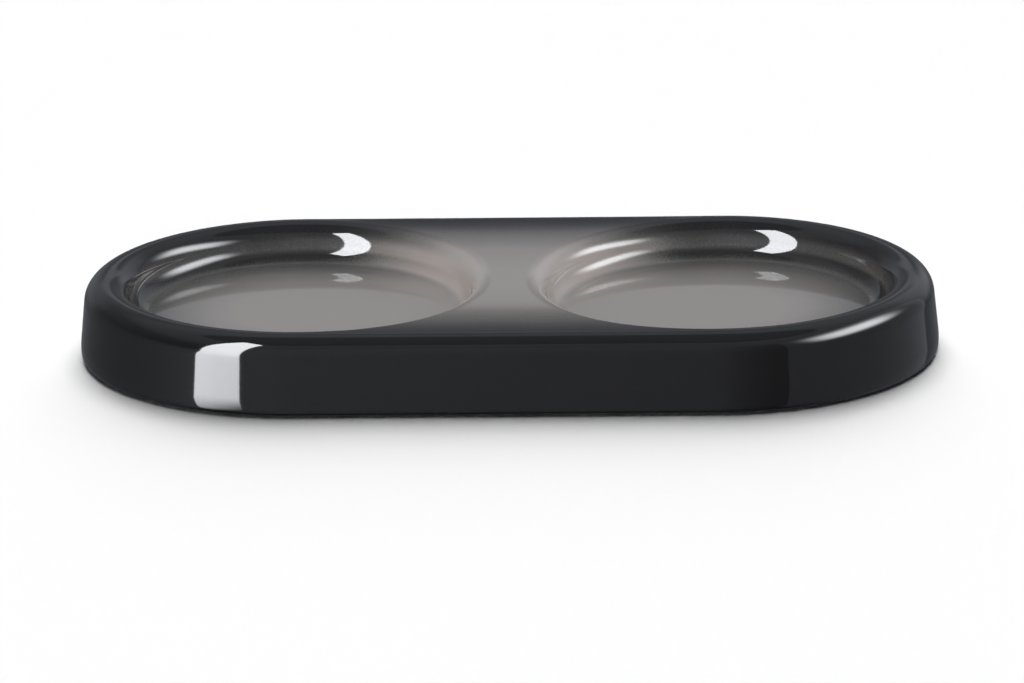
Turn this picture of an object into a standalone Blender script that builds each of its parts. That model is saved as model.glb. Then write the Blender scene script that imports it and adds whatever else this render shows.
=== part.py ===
"""Stoneware tray with two round wells for a pair of table mills, standing on four silicone pads.

Metres, +Z up. The origin is on the table, midway between the wells. +X runs along the tray.
"""

import math

import bmesh
import bpy
from mathutils import Vector

MM = 0.001
UP = math.pi / 2

# Wells: a flat floor for the mill, a cove, a steep wall and a round lip
MILL_BASE_DIAMETER = 64.0 * MM
MILL_CLEARANCE = 2.6 * MM
WELL_DEPTH = 8.4 * MM
WELL_WALL_DRAFT = math.radians(13.0)
LIP_RADIUS = 5.0 * MM
COVE_RADIUS = 5.3 * MM
BRIDGE_WIDTH = 7.4 * MM

# Rim and outer wall
RIM_LAND = 0.3 * MM
RIM_RADIUS = 5.2 * MM
BODY_HEIGHT = 18.1 * MM
OUTER_WALL_DRAFT = math.radians(5.7)
HEEL_RADIUS = 1.2 * MM

# Underside: a foot ring round a shallow recess
FOOT_WIDTH = 7.0 * MM
RECESS_DEPTH = 1.8 * MM
RECESS_SLOPE_RUN = 1.0 * MM

# Pads, stuck in the recess and standing a little proud of the foot ring
PAD_DIAMETER = 10.0 * MM
PAD_STANDOFF = 0.4 * MM
PAD_INSET = 3.0 * MM
PAD_BEARING = math.radians(45.0)
PAD_EDGE_RADIUS = 0.5 * MM
SEAT_GAP = 0.3 * MM

# Facets
TURN_STEPS = 64
LIP_STEPS = 6
COVE_STEPS = 5
RIM_STEPS = 6
HEEL_STEPS = 3
PAD_STEPS = 32
PAD_EDGE_STEPS = 2
SHARP_ANGLE = math.radians(30.0)
MERGE_DISTANCE = 0.001 * MM

# Heights
FOOT_Z = PAD_STANDOFF
RECESS_Z = FOOT_Z + RECESS_DEPTH
TOP_Z = FOOT_Z + BODY_HEIGHT
FLOOR_Z = TOP_Z - WELL_DEPTH

# A lip and a cove too tall for the wall between them are drawn in together
WALL_TURN = UP - WELL_WALL_DRAFT
BEND_HEIGHT = (LIP_RADIUS + COVE_RADIUS) * (1 - math.cos(WALL_TURN))
BEND_FIT = min(1.0, WELL_DEPTH / BEND_HEIGHT)
LIP_BEND = LIP_RADIUS * BEND_FIT
COVE_BEND = COVE_RADIUS * BEND_FIT

# Radii about each well's centre, from the floor out to the rim
FLOOR_RADIUS = MILL_BASE_DIAMETER / 2 + MILL_CLEARANCE
STRAIGHT_HEIGHT = WELL_DEPTH - BEND_HEIGHT * BEND_FIT
WALL_RUN = (LIP_BEND + COVE_BEND) * math.sin(WALL_TURN) + STRAIGHT_HEIGHT * math.tan(WELL_WALL_DRAFT)
MOUTH_RADIUS = FLOOR_RADIUS + WALL_RUN
CREST_RADIUS = MOUTH_RADIUS + RIM_LAND
WELL_X = MOUTH_RADIUS + BRIDGE_WIDTH / 2

# The outer wall runs down from the rim's round to the heel's
RIM_END_R = CREST_RADIUS + RIM_RADIUS * math.cos(OUTER_WALL_DRAFT)
RIM_END_Z = TOP_Z - RIM_RADIUS + RIM_RADIUS * math.sin(OUTER_WALL_DRAFT)
HEEL_Z = FOOT_Z + HEEL_RADIUS
HEEL_R = (
    RIM_END_R
    + (RIM_END_Z - HEEL_Z) * math.tan(OUTER_WALL_DRAFT)
    - HEEL_RADIUS / math.cos(OUTER_WALL_DRAFT)
)
RECESS_EDGE_R = HEEL_R - FOOT_WIDTH
RECESS_R = RECESS_EDGE_R - RECESS_SLOPE_RUN
PAD_RING_RADIUS = RECESS_R - PAD_INSET - PAD_DIAMETER / 2
PAD_THICKNESS = RECESS_Z - SEAT_GAP


def clear_scene():
    for obj in list(bpy.data.objects):
        bpy.data.objects.remove(obj, do_unlink=True)


def make_material(name, color, roughness):
    material = bpy.data.materials.new(name)
    material.use_nodes = True
    shader = material.node_tree.nodes["Principled BSDF"]
    shader.inputs["Base Color"].default_value = (*color, 1.0)
    shader.inputs["Roughness"].default_value = roughness
    shader.inputs["Metallic"].default_value = 0.0
    return material


def arc(center_r, center_z, radius, start, end, steps):
    """Points of an arc in the profile plane, with its angles counted from the outward horizontal."""
    angles = [start + (end - start) * step / steps for step in range(steps + 1)]
    return [(center_r + radius * math.cos(a), center_z + radius * math.sin(a)) for a in angles]


def well_profile():
    """From the mouth down over the lip, the wall and the cove to the middle of the floor."""
    lip = arc(MOUTH_RADIUS, TOP_Z - LIP_BEND, LIP_BEND, UP, UP + WALL_TURN, LIP_STEPS)
    cove = arc(FLOOR_RADIUS, FLOOR_Z + COVE_BEND, COVE_BEND, WALL_TURN - UP, -UP, COVE_STEPS)
    return lip + cove + [(0.0, FLOOR_Z)]


def outer_profile():
    """From the rim's crest down the outer wall, under the foot ring and into the recess."""
    rim = arc(CREST_RADIUS, TOP_Z - RIM_RADIUS, RIM_RADIUS, UP, OUTER_WALL_DRAFT, RIM_STEPS)
    heel = arc(HEEL_R, HEEL_Z, HEEL_RADIUS, OUTER_WALL_DRAFT, -UP, HEEL_STEPS)
    return rim + heel + [(RECESS_EDGE_R, FOOT_Z), (RECESS_R, RECESS_Z), (0.0, RECESS_Z)]


def turn_profile(mesh, profile, start, sweep, steps):
    """Spins a profile about the right-hand well's axis. Returns the edges of its first and last sections."""
    center = Vector((WELL_X, 0.0, 0.0))
    outward = Vector((math.cos(start), math.sin(start), 0.0))
    verts = [mesh.verts.new(center + outward * r + Vector((0.0, 0.0, z))) for r, z in profile]
    first = [mesh.edges.new(pair) for pair in zip(verts, verts[1:])]
    spun = bmesh.ops.spin(
        mesh, geom=verts + first, cent=center, axis=(0.0, 0.0, 1.0), angle=sweep, steps=steps
    )
    last = [item for item in spun["geom_last"] if isinstance(item, bmesh.types.BMEdge)]
    return first, last


def run_to_middle(mesh, edges):
    """Carries the open sections of the turned end straight along the tray to its mid plane."""
    run = bmesh.ops.extrude_edge_only(mesh, edges=edges)
    verts = [item for item in run["geom"] if isinstance(item, bmesh.types.BMVert)]
    bmesh.ops.translate(mesh, verts=verts, vec=(-WELL_X, 0.0, 0.0))


def fill_top(mesh):
    """Closes the flat top between the rim's crest, the well's mouth and the mid plane."""
    level = [v for v in mesh.verts if abs(v.co.z - TOP_Z) < MERGE_DISTANCE]
    mesh.edges.new([v for v in level if abs(v.co.x) < MERGE_DISTANCE])
    edges = [e for v in level for e in v.link_edges if e.other_vert(v) in level]
    bmesh.ops.triangle_fill(mesh, edges=list(set(edges)), use_beauty=True, normal=(0.0, 0.0, 1.0))


def make_tray_body(material):
    mesh = bmesh.new()
    turn_profile(mesh, well_profile(), 0.0, math.tau, TURN_STEPS)
    first, last = turn_profile(mesh, outer_profile(), -UP, math.pi, TURN_STEPS // 2)
    run_to_middle(mesh, first + last)
    bmesh.ops.remove_doubles(mesh, verts=mesh.verts, dist=MERGE_DISTANCE)
    fill_top(mesh)
    bmesh.ops.recalc_face_normals(mesh, faces=mesh.faces)
    data = bpy.data.meshes.new("tray_body")
    mesh.to_mesh(data)
    mesh.free()
    data.shade_smooth()
    data.set_sharp_from_angle(angle=SHARP_ANGLE)
    body = bpy.data.objects.new("tray_body", data)
    mirror = body.modifiers.new("other_end", "MIRROR")
    mirror.merge_threshold = MERGE_DISTANCE
    data.materials.append(material)
    return body


def make_pad(name, side_x, side_y, material):
    x = side_x * (WELL_X + PAD_RING_RADIUS * math.cos(PAD_BEARING))
    y = side_y * PAD_RING_RADIUS * math.sin(PAD_BEARING)
    bpy.ops.mesh.primitive_cylinder_add(
        vertices=PAD_STEPS,
        radius=PAD_DIAMETER / 2,
        depth=PAD_THICKNESS,
        location=(x, y, PAD_THICKNESS / 2),
    )
    pad = bpy.context.object
    pad.name = name
    pad.data.name = name
    edge = pad.modifiers.new("soft_edge", "BEVEL")
    edge.width = PAD_EDGE_RADIUS
    edge.segments = PAD_EDGE_STEPS
    edge.limit_method = "ANGLE"
    pad.data.shade_smooth()
    pad.data.set_sharp_from_angle(angle=SHARP_ANGLE)
    pad.data.materials.append(material)
    return pad


def gather(name, objects):
    """Puts the pieces in a collection of their own, under one empty at the origin."""
    collection = bpy.data.collections.new(name)
    bpy.context.scene.collection.children.link(collection)
    origin = bpy.data.objects.new(name + "_origin", None)
    collection.objects.link(origin)
    for obj in objects:
        for old in list(obj.users_collection):
            old.objects.unlink(obj)
        collection.objects.link(obj)
        obj.parent = origin


def main():
    clear_scene()
    glaze = make_material("dark_glaze", (0.045, 0.046, 0.048), 0.12)
    silicone = make_material("clear_grey_silicone", (0.30, 0.30, 0.29), 0.55)
    pieces = [make_tray_body(glaze)]
    for row, side_y in (("front", -1), ("rear", 1)):
        for hand, side_x in (("left", -1), ("right", 1)):
            pieces.append(make_pad(f"{row}_{hand}_pad", side_x, side_y, silicone))
    gather("pepper_mill_tray", pieces)


main()
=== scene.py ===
"""Looks of the stoneware mill tray: its fine glazed body, its pads, a plain studio and the camera."""

import math

import bmesh
import bpy
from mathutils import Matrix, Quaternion, Vector, noise


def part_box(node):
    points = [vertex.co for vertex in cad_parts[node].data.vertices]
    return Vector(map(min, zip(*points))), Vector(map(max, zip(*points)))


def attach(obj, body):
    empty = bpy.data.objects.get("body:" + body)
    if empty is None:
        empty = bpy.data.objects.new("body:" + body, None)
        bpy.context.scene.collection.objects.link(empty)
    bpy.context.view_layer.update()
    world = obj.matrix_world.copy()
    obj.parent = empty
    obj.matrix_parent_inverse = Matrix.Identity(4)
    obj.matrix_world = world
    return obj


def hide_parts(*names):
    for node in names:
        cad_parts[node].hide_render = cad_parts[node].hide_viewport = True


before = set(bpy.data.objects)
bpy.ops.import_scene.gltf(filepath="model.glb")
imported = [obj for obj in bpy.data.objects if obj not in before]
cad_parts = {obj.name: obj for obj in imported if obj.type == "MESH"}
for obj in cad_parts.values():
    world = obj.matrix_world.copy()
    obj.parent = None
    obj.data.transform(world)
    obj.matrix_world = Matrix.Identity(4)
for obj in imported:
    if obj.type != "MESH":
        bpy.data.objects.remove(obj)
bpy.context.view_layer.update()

MM = 0.001
UP = math.pi / 2

# Sizes that the fine body shares with the solid one
WELL_DEPTH = 8.4 * MM
WELL_WALL_DRAFT = math.radians(13.0)
LIP_RADIUS = 5.0 * MM
COVE_RADIUS = 5.3 * MM
BRIDGE_WIDTH = 7.4 * MM
RIM_LAND = 0.3 * MM
RIM_RADIUS = 5.2 * MM
OUTER_WALL_DRAFT = math.radians(5.7)
HEEL_RADIUS = 1.2 * MM
FOOT_WIDTH = 7.0 * MM
RECESS_DEPTH = 1.8 * MM
RECESS_SLOPE_RUN = 1.0 * MM

# Shapes of the fine body alone: a foot ring with eased edges, and a wall that turns in above the heel
FOOT_EDGE_RADIUS = 0.4 * MM
TUCK_RADIUS = 16.0 * MM
TUCK_TURN = math.radians(5.0)

# Places read from the frame
tray_low, tray_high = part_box("tray_body")
FOOT_Z = tray_low.z
TOP_Z = tray_high.z
END_RADIUS = tray_high.y
WELL_X = tray_high.x - END_RADIUS
FLOOR_Z = TOP_Z - WELL_DEPTH
RECESS_Z = FOOT_Z + RECESS_DEPTH

# Radii about each well's centre
WALL_TURN = UP - WELL_WALL_DRAFT
STRAIGHT_HEIGHT = WELL_DEPTH - (LIP_RADIUS + COVE_RADIUS) * (1 - math.cos(WALL_TURN))
WALL_RUN = (LIP_RADIUS + COVE_RADIUS) * math.sin(WALL_TURN) + STRAIGHT_HEIGHT * math.tan(WELL_WALL_DRAFT)
MOUTH_RADIUS = WELL_X - BRIDGE_WIDTH / 2
FLOOR_RADIUS = MOUTH_RADIUS - WALL_RUN
CREST_RADIUS = MOUTH_RADIUS + RIM_LAND
HEEL_R = END_RADIUS - HEEL_RADIUS
RECESS_EDGE_R = HEEL_R - FOOT_WIDTH
RECESS_R = RECESS_EDGE_R - RECESS_SLOPE_RUN

# The arc that turns the wall in touches the straight wall above it and the heel's arc below it
WALL_REACH = (
    HEEL_R * math.cos(OUTER_WALL_DRAFT)
    + (FOOT_Z + HEEL_RADIUS) * math.sin(OUTER_WALL_DRAFT)
    + HEEL_RADIUS
)
TUCK_Z = FOOT_Z + HEEL_RADIUS + (TUCK_RADIUS - HEEL_RADIUS) * math.sin(TUCK_TURN)
TUCK_R = (WALL_REACH - TUCK_RADIUS - TUCK_Z * math.sin(OUTER_WALL_DRAFT)) / math.cos(OUTER_WALL_DRAFT)
TUCKED_HEEL_R = TUCK_R + (TUCK_RADIUS - HEEL_RADIUS) * math.cos(TUCK_TURN)

# Fineness of the body's mesh
END_STEPS = 120
SIDE_STEPS = 34
BRIDGE_STEPS = 60
FLOOR_RINGS = 14
COVE_STEPS = 16
WALL_STEPS = 3
LIP_STEPS = 20
TOP_RINGS = 10
RIM_STEPS = 20
OUTER_WALL_STEPS = 8
TUCK_STEPS = 8
HEEL_STEPS = 8
EDGE_STEPS = 5
MERGE_DISTANCE = 0.001 * MM

# Rings of points this far from a round keep the flat beside it flat in its shading
EASE = 0.15 * MM

# The bridge has settled a little in the kiln
SAG_SLOPE = math.tan(math.radians(3.3))
SAG_EASE = 5.2 * MM
SAG_REACH = 25.0 * MM
SAG_FULL_X = 26.0 * MM
SAG_NONE_X = 62.0 * MM

# The glaze lies in long shallow waves
WAVE_LENGTH = 16.0 * MM
WAVE_HEIGHT = 0.012 * MM


def arc(center_r, center_z, radius, start, end, steps):
    """Points of an arc in the profile plane, with its angles counted from the outward horizontal."""
    angles = [start + (end - start) * step / steps for step in range(steps + 1)]
    return [(center_r + radius * math.cos(a), center_z + radius * math.sin(a)) for a in angles]


def between(start, end, steps):
    """The inner points of a straight run."""
    shares = [step / steps for step in range(1, steps)]
    return [tuple(a + (b - a) * share for a, b in zip(start, end)) for share in shares]


def round_corners(points, radius, steps):
    """The same run of profile points, with every inner corner turned into an arc."""
    rounded = [points[0]]
    for before, corner, after in zip(points, points[1:], points[2:]):
        corner = Vector(corner)
        to_before = (Vector(before) - corner).normalized()
        to_after = (Vector(after) - corner).normalized()
        half = to_before.angle(to_after) / 2
        center = corner + (to_before + to_after).normalized() * radius / math.sin(half)
        first = corner + to_before * radius / math.tan(half) - center
        last = corner + to_after * radius / math.tan(half) - center
        for step in range(steps + 1):
            rounded.append(tuple(center + first.lerp(last, step / steps).normalized() * radius))
    return rounded + [points[-1]]


def well_profile():
    """From the first ring round the middle of the floor out to the mouth of the well."""
    floor = [(FLOOR_RADIUS * ring / FLOOR_RINGS, FLOOR_Z) for ring in range(1, FLOOR_RINGS)]
    floor.append((FLOOR_RADIUS - EASE, FLOOR_Z))
    cove = arc(FLOOR_RADIUS, FLOOR_Z + COVE_RADIUS, COVE_RADIUS, -UP, WALL_TURN - UP, COVE_STEPS)
    lip = arc(MOUTH_RADIUS, TOP_Z - LIP_RADIUS, LIP_RADIUS, UP + WALL_TURN, UP, LIP_STEPS)
    return floor + cove + between(cove[-1], lip[0], WALL_STEPS) + lip


def outer_profile():
    """From below the rim's crest down the wall to the heel."""
    rim = arc(CREST_RADIUS, TOP_Z - RIM_RADIUS, RIM_RADIUS, UP, OUTER_WALL_DRAFT, RIM_STEPS)
    tuck = arc(TUCK_R, TUCK_Z, TUCK_RADIUS, OUTER_WALL_DRAFT, -TUCK_TURN, TUCK_STEPS)
    heel = arc(TUCKED_HEEL_R, FOOT_Z + HEEL_RADIUS, HEEL_RADIUS, -TUCK_TURN, -UP, HEEL_STEPS)
    return rim[1:] + between(rim[-1], tuck[0], OUTER_WALL_STEPS) + tuck + heel[1:]


def foot_profile():
    """From the heel across the bare foot ring and up to the recess."""
    corners = [(TUCKED_HEEL_R - EASE, FOOT_Z), (RECESS_EDGE_R, FOOT_Z), (RECESS_R, RECESS_Z)]
    corners.append((RECESS_R - FOOT_WIDTH, RECESS_Z))
    return round_corners(corners, FOOT_EDGE_RADIUS, EDGE_STEPS)


def spread(start, end, steps):
    """Evenly spaced angles from start up to, but not with, end."""
    return [start + (end - start) * step / steps for step in range(steps)]


def top_edge(angle):
    """How far from a well's middle the top ends in that direction, and which way the wall there faces."""
    along = math.cos(angle)
    across = math.sin(angle)
    if along >= 0:
        return CREST_RADIUS, Vector((along, across, 0.0))
    if abs(across) * WELL_X > abs(along) * CREST_RADIUS - MERGE_DISTANCE * WELL_X:
        return CREST_RADIUS / abs(across), Vector((0.0, math.copysign(1.0, across), 0.0))
    return WELL_X / abs(along), None


def add_column(mesh, angle, rows):
    """A line of points from the well's floor out over the top and, at the outside, under the foot."""
    center = Vector((WELL_X, 0.0, 0.0))
    ray = Vector((math.cos(angle), math.sin(angle), 0.0))
    reach, facing = top_edge(angle)
    points = [center + ray * r + Vector((0.0, 0.0, z)) for r, z in rows["well"]]
    span = reach - MOUTH_RADIUS
    eased = min(EASE, span / 4)
    distances = [eased + (span - 2 * eased) * ring / TOP_RINGS for ring in range(TOP_RINGS + 1)] + [span]
    points += [center + ray * (MOUTH_RADIUS + d) + Vector((0.0, 0.0, TOP_Z)) for d in distances]
    if facing:
        edge = center + ray * reach
        points += [edge + facing * (r - CREST_RADIUS) + Vector((0.0, 0.0, z)) for r, z in rows["outer"]]
        points += [edge + facing * (r - CREST_RADIUS) + Vector((0.0, 0.0, z)) for r, z in rows["foot"]]
    return [mesh.verts.new(point) for point in points]


def add_half(mesh):
    """The right-hand half of the tray, open at the mid plane."""
    rows = {"well": well_profile(), "outer": outer_profile(), "foot": foot_profile()}
    top_points = TOP_RINGS + 2
    foot_start = len(rows["well"]) + top_points + len(rows["outer"])
    corner = math.atan2(CREST_RADIUS, -WELL_X)
    walled = spread(-corner, -UP, SIDE_STEPS) + spread(-UP, UP, END_STEPS) + spread(UP, corner, SIDE_STEPS)
    walled.append(corner)
    angles = walled + spread(corner, math.tau - corner, BRIDGE_STEPS)[1:]
    columns = [add_column(mesh, angle, rows) for angle in angles]
    middle = mesh.verts.new((WELL_X, 0.0, FLOOR_Z))
    for left, right in zip(columns, columns[1:] + columns[:1]):
        mesh.faces.new((middle, left[0], right[0]))
        quads = zip(left, right, right[1:], left[1:])
        for row, corners in enumerate(quads):
            face = mesh.faces.new(corners)
            face.material_index = int(foot_start - 1 <= row < foot_start + EDGE_STEPS)
    mesh.faces.new([column[-1] for column in columns[: len(walled)]])


def sag(inside):
    """How far the top has settled at that distance inside the rim's crest."""
    if inside < 0:
        return SAG_SLOPE * max(inside + SAG_EASE, 0.0) ** 2 / (2 * SAG_EASE)
    run = min(inside, SAG_REACH)
    return SAG_SLOPE * (SAG_EASE / 2 + run - run ** 2 / (2 * SAG_REACH))


def add_sag(mesh):
    """Lets the top down between the wells and leaves the floors and the far ends where they are."""
    for vert in mesh.verts:
        x, y, z = vert.co
        inside = CREST_RADIUS - math.hypot(max(abs(x) - WELL_X, 0.0), y)
        lift = min(max((z - FLOOR_Z) / WELL_DEPTH, 0.0), 1.0)
        away = min(max((abs(x) - SAG_FULL_X) / (SAG_NONE_X - SAG_FULL_X), 0.0), 1.0)
        share = 1 - away * away * (3 - 2 * away)
        vert.co.z -= sag(inside) * lift * share


def add_waves(mesh):
    mesh.normal_update()
    for vert in mesh.verts:
        vert.co += vert.normal * WAVE_HEIGHT * noise.noise(vert.co / WAVE_LENGTH)


def make_object(name, mesh, materials):
    bmesh.ops.recalc_face_normals(mesh, faces=mesh.faces)
    data = bpy.data.meshes.new(name)
    mesh.to_mesh(data)
    mesh.free()
    data.shade_smooth()
    for material in materials:
        data.materials.append(material)
    piece = bpy.data.objects.new(name, data)
    bpy.context.scene.collection.objects.link(piece)
    return piece


def make_body(glaze, clay):
    mesh = bmesh.new()
    add_half(mesh)
    everything = mesh.verts[:] + mesh.edges[:] + mesh.faces[:]
    bmesh.ops.mirror(mesh, geom=everything, axis="X", merge_dist=MERGE_DISTANCE)
    bmesh.ops.recalc_face_normals(mesh, faces=mesh.faces)
    add_sag(mesh)
    add_waves(mesh)
    return make_object("glazed_body", mesh, [glaze, clay])


# Helpers for node trees
def add_node(tree, kind, **settings):
    node = tree.nodes.new(kind)
    for name, value in settings.items():
        setattr(node, name, value)
    return node


def feed(tree, socket, value):
    """Sets a socket to a number, or links it to another socket."""
    if isinstance(value, bpy.types.NodeSocket):
        tree.links.new(value, socket)
    else:
        socket.default_value = value


def calc(tree, operation, *values):
    node = add_node(tree, "ShaderNodeMath", operation=operation)
    for socket, value in zip(node.inputs, values):
        feed(tree, socket, value)
    return node.outputs[0]


def length(tree, first, second):
    squares = [calc(tree, "MULTIPLY", side, side) for side in (first, second)]
    return calc(tree, "SQRT", calc(tree, "ADD", *squares))


def fade(tree, value, start, end):
    """From 0 at start to 1 at end, eased at both."""
    node = add_node(tree, "ShaderNodeMapRange", interpolation_type="SMOOTHSTEP")
    feed(tree, node.inputs["Value"], value)
    feed(tree, node.inputs["From Min"], start)
    feed(tree, node.inputs["From Max"], end)
    return node.outputs[0]


def ramp(tree, value, span, stops):
    """A colour for each value from 0 to span."""
    node = add_node(tree, "ShaderNodeValToRGB")
    elements = node.color_ramp.elements
    elements.remove(elements[1])
    for place, color in stops[1:]:
        elements.new(place / span).color = (*color, 1.0)
    elements[0].position = stops[0][0] / span
    elements[0].color = (*stops[0][1], 1.0)
    feed(tree, node.inputs[0], calc(tree, "DIVIDE", value, span))
    return node.outputs[0]


def mix(tree, factor, first, second):
    """Blends two colours, whose sockets come after a mix node's sockets for numbers and vectors."""
    node = add_node(tree, "ShaderNodeMix", data_type="RGBA")
    feed(tree, node.inputs[0], factor)
    feed(tree, node.inputs[6], first)
    feed(tree, node.inputs[7], second)
    return node.outputs[2]


def grain(tree, vector, size, detail=2.0):
    """Noise from 0 to 1 whose lumps are about that size."""
    node = add_node(tree, "ShaderNodeTexNoise")
    node.inputs["Scale"].default_value = 1 / size
    node.inputs["Detail"].default_value = detail
    feed(tree, node.inputs["Vector"], vector)
    return node.outputs[0]


def bump(tree, height, distance):
    node = add_node(tree, "ShaderNodeBump")
    node.inputs["Distance"].default_value = distance
    feed(tree, node.inputs["Height"], height)
    return node.outputs[0]


def broken_line(tree, value, points):
    """Follows straight runs from point to point, each a value and its result."""
    result = points[0][1]
    for (start, low), (end, high) in zip(points, points[1:]):
        run = add_node(tree, "ShaderNodeMapRange")
        feed(tree, run.inputs["Value"], value)
        run.inputs["From Min"].default_value = start
        run.inputs["From Max"].default_value = end
        run.inputs["To Max"].default_value = high - low
        result = calc(tree, "ADD", run.outputs[0], result)
    return result


def new_material(name):
    material = bpy.data.materials.new(name)
    material.use_nodes = True
    tree = material.node_tree
    return material, tree, tree.nodes["Principled BSDF"]


# Glaze tones by their distance in from the outline: black outside, warm grey further in; the walls' tones
# also carry painted light
OMBRE_SPAN = 50.0 * MM
TOP_TONES = [
    (5 * MM, (0.0055, 0.0053, 0.0055)),
    (7 * MM, (0.011, 0.011, 0.011)),
    (10 * MM, (0.028, 0.027, 0.027)),
    (13 * MM, (0.050, 0.049, 0.048)),
    (17 * MM, (0.094, 0.091, 0.087)),
    (21 * MM, (0.135, 0.129, 0.123)),
    (25 * MM, (0.176, 0.166, 0.158)),
    (29 * MM, (0.223, 0.208, 0.199)),
    (34 * MM, (0.253, 0.236, 0.226)),
    (45 * MM, (0.276, 0.259, 0.250)),
]
LIP_TONES = [
    (8 * MM, (0.0045, 0.0043, 0.0045)),
    (10 * MM, (0.010, 0.0097, 0.0097)),
    (12 * MM, (0.024, 0.023, 0.023)),
    (14 * MM, (0.046, 0.045, 0.043)),
    (16 * MM, (0.085, 0.082, 0.078)),
    (18 * MM, (0.127, 0.122, 0.118)),
    (21 * MM, (0.199, 0.188, 0.181)),
    (25 * MM, (0.290, 0.268, 0.254)),
    (29 * MM, (0.345, 0.319, 0.302)),
    (36 * MM, (0.374, 0.347, 0.334)),
    (48 * MM, (0.390, 0.364, 0.354)),
]
# The wells' walls: warm grey glaze that breaks lighter, painted lighter still as painted light that stands
# in for light from the sides
WALL_TONES_AND_PAINTED_SIDE_LIGHT = [
    (10 * MM, (0.045, 0.043, 0.042)),
    (12 * MM, (0.085, 0.082, 0.079)),
    (13.5 * MM, (0.147, 0.143, 0.140)),
    (15.5 * MM, (0.255, 0.235, 0.226)),
    (18 * MM, (0.326, 0.297, 0.277)),
    (21 * MM, (0.398, 0.355, 0.333)),
    (25 * MM, (0.425, 0.380, 0.356)),
    (32 * MM, (0.440, 0.395, 0.374)),
    (40 * MM, (0.415, 0.375, 0.352)),
    (48 * MM, (0.388, 0.352, 0.330)),
]
COVE_TONES = [
    (12 * MM, (0.020, 0.019, 0.018)),
    (13.5 * MM, (0.018, 0.0175, 0.0165)),
    (15 * MM, (0.055, 0.053, 0.051)),
    (17 * MM, (0.148, 0.141, 0.133)),
    (19 * MM, (0.218, 0.205, 0.190)),
    (21 * MM, (0.280, 0.250, 0.237)),
    (25 * MM, (0.345, 0.300, 0.282)),
    (30 * MM, (0.385, 0.341, 0.323)),
    (38 * MM, (0.385, 0.345, 0.325)),
    (48 * MM, (0.339, 0.310, 0.285)),
]
FLOOR_TONES = [
    (13 * MM, (0.040, 0.039, 0.038)),
    (15 * MM, (0.067, 0.066, 0.063)),
    (17 * MM, (0.093, 0.091, 0.090)),
    (20 * MM, (0.126, 0.122, 0.120)),
    (23 * MM, (0.158, 0.154, 0.149)),
    (26 * MM, (0.188, 0.181, 0.173)),
    (30 * MM, (0.232, 0.219, 0.212)),
    (36 * MM, (0.264, 0.247, 0.236)),
    (48 * MM, (0.264, 0.247, 0.236)),
]

# Heights above the wells' floors between which each zone's tones take over from those below it
COVE_BLEND = (0.1 * MM, 0.9 * MM)
WALL_BLEND = (2.0 * MM, 3.3 * MM)
LIP_BLEND = (4.2 * MM, 6.6 * MM)

# Distances inside a mouth between which the well's tones take over from the top's, further out at the back
MOUTH_BLEND = (0.1 * MM, 3.1 * MM)
MOUTH_LEAN = 0.035

# Depths below the wells' floors between which the glaze turns black for the underside
UNDERSIDE_BLEND = (4.0 * MM, 6.0 * MM)

# Glaze: sprayed specks and broad clouds that shift its tones, and a faint ripple
SPECK_SIZE = 0.45 * MM
SPECK_SHIFT = 2.5 * MM
CLOUD_SIZE = 14.0 * MM
CLOUD_SHIFT = 2.0 * MM
RIPPLE_SIZE = 2.5 * MM
RIPPLE_HEIGHT = 0.002 * MM
GLAZE_ROUGHNESS = 0.05
GLAZE_IOR = 1.45

# Bare clay, by the level of its sand
SAND_SIZE = 0.35 * MM
SAND_HEIGHT = 0.05 * MM
CLAY_TONES = [(0.3, (0.40, 0.36, 0.31)), (0.7, (0.56, 0.52, 0.46))]
CLAY_ROUGHNESS = 0.85

# Silicone, by the level of its dust
DUST_SIZE = 0.6 * MM
DUST_HEIGHT = 0.02 * MM
SILICONE_TONES = [(0.3, (0.27, 0.27, 0.26)), (0.7, (0.33, 0.33, 0.32))]
SILICONE_ROUGHNESS = 0.5


def shift(tree, value, pattern, reach):
    """Moves a value up or down by up to half the reach, as the pattern says."""
    return calc(tree, "MULTIPLY_ADD", calc(tree, "SUBTRACT", pattern, 0.5), reach, value)


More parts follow.
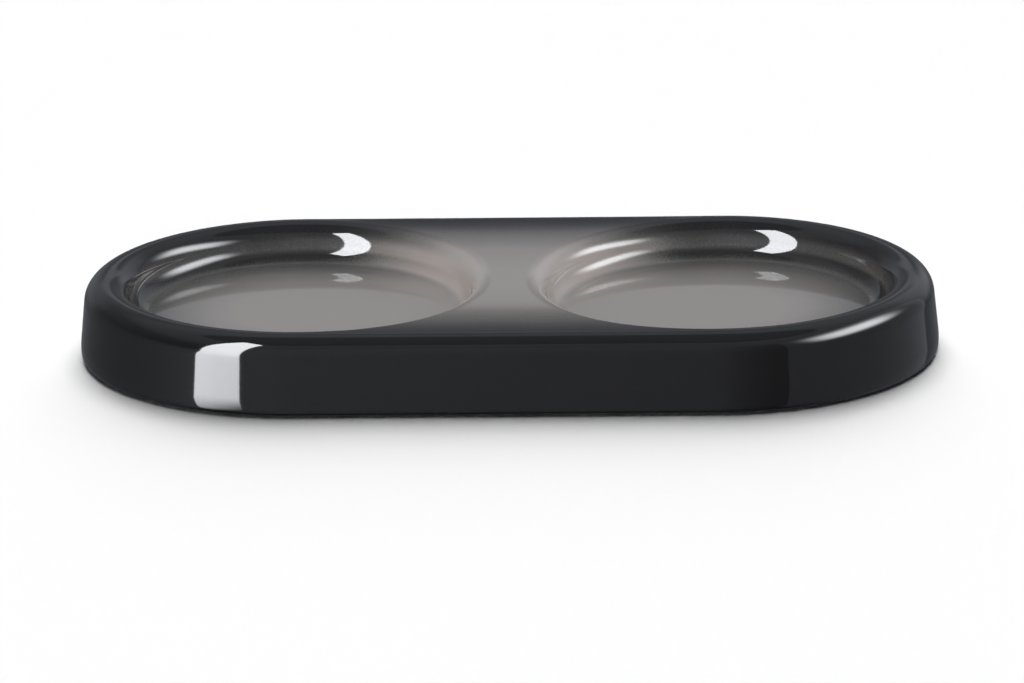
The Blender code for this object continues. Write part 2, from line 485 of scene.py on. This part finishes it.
def make_glaze_and_painted_wall_light():
    """Black glaze at the rim and the outside that fades through sprayed specks to warm grey further in.
    The wells' walls are painted lighter than their glaze, as painted light from the sides.
    """
    material, tree, shader = new_material("ombre_glaze_and_painted_wall_light")
    place = add_node(tree, "ShaderNodeTexCoord").outputs["Object"]
    split = add_node(tree, "ShaderNodeSeparateXYZ")
    feed(tree, split.inputs[0], place)
    x, y, z = split.outputs
    past_well = calc(tree, "SUBTRACT", calc(tree, "ABSOLUTE", x), WELL_X)
    from_well = length(tree, past_well, y)
    inset = calc(tree, "SUBTRACT", END_RADIUS, length(tree, calc(tree, "MAXIMUM", past_well, 0.0), y))
    inset = shift(tree, inset, grain(tree, place, SPECK_SIZE, detail=1.0), SPECK_SHIFT)
    inset = shift(tree, inset, grain(tree, place, CLOUD_SIZE), CLOUD_SHIFT)
    height = calc(tree, "SUBTRACT", z, FLOOR_Z)
    sunk = ramp(tree, inset, OMBRE_SPAN, FLOOR_TONES)
    for tones, blend in ((COVE_TONES, COVE_BLEND), (WALL_TONES_AND_PAINTED_SIDE_LIGHT, WALL_BLEND), (LIP_TONES, LIP_BLEND)):
        sunk = mix(tree, fade(tree, height, *blend), sunk, ramp(tree, inset, OMBRE_SPAN, tones))
    leaned = calc(tree, "MULTIPLY_ADD", y, -MOUTH_LEAN, from_well)
    inner = fade(tree, leaned, *[MOUTH_RADIUS - inside for inside in MOUTH_BLEND])
    upper = mix(tree, inner, ramp(tree, inset, OMBRE_SPAN, TOP_TONES), sunk)
    under = fade(tree, height, *[-depth for depth in UNDERSIDE_BLEND])
    black = (*TOP_TONES[0][1], 1.0)
    feed(tree, shader.inputs["Base Color"], mix(tree, under, upper, black))
    shader.inputs["Roughness"].default_value = GLAZE_ROUGHNESS
    shader.inputs["IOR"].default_value = GLAZE_IOR
    ripple = grain(tree, place, RIPPLE_SIZE)
    feed(tree, shader.inputs["Normal"], bump(tree, ripple, RIPPLE_HEIGHT))
    return material


def make_grainy(name, size, height, tones, roughness):
    """A matt material with a fine grain that shows in its colour and its surface."""
    material, tree, shader = new_material(name)
    place = add_node(tree, "ShaderNodeTexCoord").outputs["Object"]
    grains = grain(tree, place, size, detail=3.0)
    feed(tree, shader.inputs["Base Color"], ramp(tree, grains, 1.0, tones))
    feed(tree, shader.inputs["Normal"], bump(tree, grains, height))
    shader.inputs["Roughness"].default_value = roughness
    return material


# Floor
FLOOR_REACH = 10.0
FLOOR_TONE = (0.97, 0.97, 0.97)
FLOOR_PATCH_TONE = (0.9506, 0.9506, 0.9506)
FLOOR_PATCH_SIZE = 0.4

# Tints of the light
COOL = (0.94, 0.98, 1.08)
CLEAR = (0.98, 1.0, 1.03)

# Sky level by elevation in degrees, for reflections and not for diffuse light
SKY = [
    (-90, 0.05),
    (-40, 0.10),
    (-20, 0.16),
    (-12, 0.15),
    (14, 0.16),
    (24, 0.22),
    (34, 0.26),
    (45, 0.50),
    (62, 0.60),
    (64, 0.30),
    (90, 0.35),
]

# Cards, with their places and sizes in metres
# A glow has its middle and reach, as shares of the card across it and up it, and the powers of its falloff
# A cut has the card's near side by height and its top by place across it, also as shares of the card
CARDS = [
    {
        "name": "left_window",
        "place": (-0.298, -0.306, 0.36),
        "target": (1.0, -0.306, 0.36),
        "size": (0.324, 1.22),
        "level": 23.0,
        "tint": CLEAR,
        "glow": {"middle": (0.5, 0.8), "reach": (9.0, 0.695), "power": (2.0, 10.0)},
        "cut": {
            "side": [(0.0, 0.185), (0.16, 0.188), (0.2, 0.215), (0.25, 0.256), (1.0, 0.075)],
            "top": [(0.0, 0.8), (1.0, 1.0)],
        },
    },
    {
        "name": "right_glow",
        "place": (2.487, 0.0, 1.678),
        "target": (0.0, 0.0, 0.0),
        "size": (5.0, 4.4),
        "level": 15.0,
        "tint": CLEAR,
        "glow": {"middle": (0.455, 0.51), "reach": (0.283, 0.13), "power": (3.5, 3.0)},
    },
    {
        "name": "right_card",
        "place": (0.8, -0.115, -0.1),
        "target": (-1.0, -0.115, -0.1),
        "size": (1.85, 2.2),
        "level": 0.25,
    },
    {
        "name": "front_card",
        "place": (0.0, -0.6, -0.225),
        "target": (0.0, 0.0, -0.225),
        "size": (2.0, 1.55),
        "level": 0.45,
        "glow": {"middle": (0.375, 0.5), "reach": (0.2, 0.5), "power": (2.5, 8.0)},
    },
    {
        "name": "left_card",
        "place": (-1.2, 0.0, -0.625),
        "target": (0.0, 0.0, -0.625),
        "size": (2.4, 1.95),
        "level": 0.52,
        "glow": {"middle": (0.875, 0.5), "reach": (0.333, 0.46), "power": (1.5, 8.0)},
    },
    {
        "name": "rear_band",
        "place": (0.0, 3.0, 1.032),
        "target": (0.0, 0.0, 1.032),
        "size": (3.0, 0.8),
        "level": 0.21,
        "glow": {"middle": (0.5, 0.5), "reach": (0.25, 0.1826), "power": (4.0, 6.0)},
    },
    {
        "name": "rear_left",
        "place": (-1.3, 2.4, 0.5),
        "target": (0.0, 0.0, 0.0),
        "size": (2.0, 1.8),
        "level": 0.14,
        "glow": {"middle": (0.5, 0.5), "reach": (0.38, 0.4), "power": (4.0, 4.0)},
    },
    {
        "name": "rear_right",
        "place": (1.3, 2.4, 0.9),
        "target": (0.0, 0.0, 0.0),
        "size": (2.2, 2.4),
        "level": 0.38,
        "glow": {"middle": (0.5, 0.5), "reach": (0.38, 0.4), "power": (4.0, 4.0)},
    },
]

# Camera at the photograph's viewpoint, in the photograph's frame
IMAGE_WIDTH_PX = 1024
FOCAL_LENGTH_PX = 8583
SENSOR_WIDTH = 36.0
CAMERA_DISTANCE = 1.996
CAMERA_ELEVATION = math.radians(17.37)
CAMERA_YAW = math.radians(1.59)
CAMERA_ROLL = math.radians(-0.93)
AIM_RIGHT = 0.49 * MM
AIM_UP = 1.90 * MM


def make_floor():
    material, tree, shader = new_material("pale_floor")
    place = add_node(tree, "ShaderNodeTexCoord").outputs["Object"]
    patches = grain(tree, place, FLOOR_PATCH_SIZE)
    tone = mix(tree, patches, (*FLOOR_TONE, 1.0), (*FLOOR_PATCH_TONE, 1.0))
    feed(tree, shader.inputs["Base Color"], tone)
    shader.inputs["Roughness"].default_value = 1.0
    shader.inputs["Specular IOR Level"].default_value = 0.0
    bpy.ops.mesh.primitive_plane_add(size=2 * FLOOR_REACH)
    floor = bpy.context.object
    floor.name = "floor"
    floor.data.materials.append(material)
    floor.visible_glossy = False
    return floor


def make_sky():
    world = bpy.data.worlds.new("studio")
    bpy.context.scene.world = world
    world.use_nodes = True
    world.cycles_visibility.diffuse = False
    tree = world.node_tree
    split = add_node(tree, "ShaderNodeSeparateXYZ")
    feed(tree, split.inputs[0], add_node(tree, "ShaderNodeTexCoord").outputs["Generated"])
    height = calc(tree, "MULTIPLY_ADD", split.outputs[2], 0.5, 0.5)
    stops = []
    for angle, level in SKY:
        stops.append((0.5 + 0.5 * math.sin(math.radians(angle)), [level * tint for tint in COOL]))
    feed(tree, tree.nodes["Background"].inputs["Color"], ramp(tree, height, 1.0, stops))


def aim(lamp, name, place, target):
    """Hangs a lamp at a place, turned to its target and out of the camera's sight."""
    holder = bpy.data.objects.new(name, lamp)
    bpy.context.scene.collection.objects.link(holder)
    holder.location = place
    holder.rotation_mode = "QUATERNION"
    holder.rotation_quaternion = (Vector(target) - Vector(place)).to_track_quat("-Z", "Y")
    holder.visible_camera = False
    return holder


def add_soft_light(name, elevation, spread_angle, level, receivers):
    """Even light from that elevation at the back, for the shading of the pieces it is given."""
    lamp = bpy.data.lights.new(name, "SUN")
    lamp.angle = math.radians(spread_angle)
    lamp.energy = level * math.pi
    rise = math.radians(elevation)
    holder = aim(lamp, name, (0.0, math.cos(rise), math.sin(rise)), (0.0, 0.0, 0.0))
    holder.visible_glossy = False
    holder.light_linking.receiver_collection = receivers


def shape_light(lamp, glow, cut):
    """Dims a lamp away from the middle of its glow. A cut darkens it past its side and its top."""
    lamp.use_nodes = True
    tree = lamp.node_tree
    split = add_node(tree, "ShaderNodeSeparateXYZ")
    feed(tree, split.inputs[0], add_node(tree, "ShaderNodeNewGeometry").outputs["Parametric"])
    across, up, _ = split.outputs
    level = 1.0
    for place, middle, reach, power in zip((across, up), glow["middle"], glow["reach"], glow["power"]):
        away = calc(tree, "DIVIDE", calc(tree, "SUBTRACT", place, middle), reach)
        drop = calc(tree, "POWER", calc(tree, "ABSOLUTE", away), power)
        falloff = calc(tree, "POWER", math.e, calc(tree, "MULTIPLY", drop, -1.0))
        level = calc(tree, "MULTIPLY", level, falloff)
    if cut:
        past_side = calc(tree, "GREATER_THAN", across, broken_line(tree, up, cut["side"]))
        under_top = calc(tree, "LESS_THAN", up, broken_line(tree, across, cut["top"]))
        level = calc(tree, "MULTIPLY", level, calc(tree, "MULTIPLY", past_side, under_top))
    feed(tree, tree.nodes["Emission"].inputs["Strength"], level)


def add_card(name, place, target, size, level, tint=COOL, glow=None, cut=None):
    """A flat rectangular lamp that faces the target and shows only in reflections."""
    lamp = bpy.data.lights.new(name, "AREA")
    lamp.shape = "RECTANGLE"
    lamp.size, lamp.size_y = size
    lamp.color = tint
    lamp.energy = level * math.pi * size[0] * size[1]
    holder = aim(lamp, name, place, target)
    holder.visible_diffuse = False
    if glow:
        shape_light(lamp, glow, cut)


def group(name, objects):
    """A collection that only says which pieces a lamp lights."""
    receivers = bpy.data.collections.new(name)
    for obj in objects:
        receivers.objects.link(obj)
    return receivers


def make_lamps(pieces, floor):
    lit_tray = group("lit_tray", pieces)
    lit_floor = group("lit_floor", [floor])
    add_soft_light("dome", elevation=90, spread_angle=180, level=1.0, receivers=lit_tray)
    add_soft_light("back_low", elevation=30, spread_angle=50, level=0.78, receivers=lit_floor)
    add_soft_light("back_high", elevation=70, spread_angle=46, level=0.69, receivers=lit_floor)
    for card in CARDS:
        add_card(**card)


def make_camera():
    direction = Vector((
        math.sin(CAMERA_YAW) * math.cos(CAMERA_ELEVATION),
        -math.cos(CAMERA_YAW) * math.cos(CAMERA_ELEVATION),
        math.sin(CAMERA_ELEVATION),
    ))
    level = (-direction).to_track_quat("-Z", "Y")
    turn = level @ Quaternion((0.0, 0.0, 1.0), CAMERA_ROLL)
    data = bpy.data.cameras.new("camera")
    data.sensor_width = SENSOR_WIDTH
    data.lens = FOCAL_LENGTH_PX / IMAGE_WIDTH_PX * SENSOR_WIDTH
    camera = bpy.data.objects.new("camera", data)
    bpy.context.scene.collection.objects.link(camera)
    camera.location = direction * CAMERA_DISTANCE + turn @ Vector((AIM_RIGHT, AIM_UP, 0.0))
    camera.rotation_mode = "QUATERNION"
    camera.rotation_quaternion = turn
    bpy.context.scene.camera = camera


def main():
    clay = make_grainy("bare_clay", SAND_SIZE, SAND_HEIGHT, CLAY_TONES, CLAY_ROUGHNESS)
    body = make_body(make_glaze_and_painted_wall_light(), clay)
    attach(body, "root")
    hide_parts("tray_body")
    silicone = make_grainy(
        "clear_grey_silicone", DUST_SIZE, DUST_HEIGHT, SILICONE_TONES, SILICONE_ROUGHNESS
    )
    pads = [node for name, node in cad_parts.items() if name.endswith("_pad")]
    for pad in pads:
        pad.data.materials.clear()
        pad.data.materials.append(silicone)
    make_sky()
    make_lamps([body, *pads], make_floor())
    make_camera()
    bpy.context.scene.view_settings.view_transform = "Standard"


main()
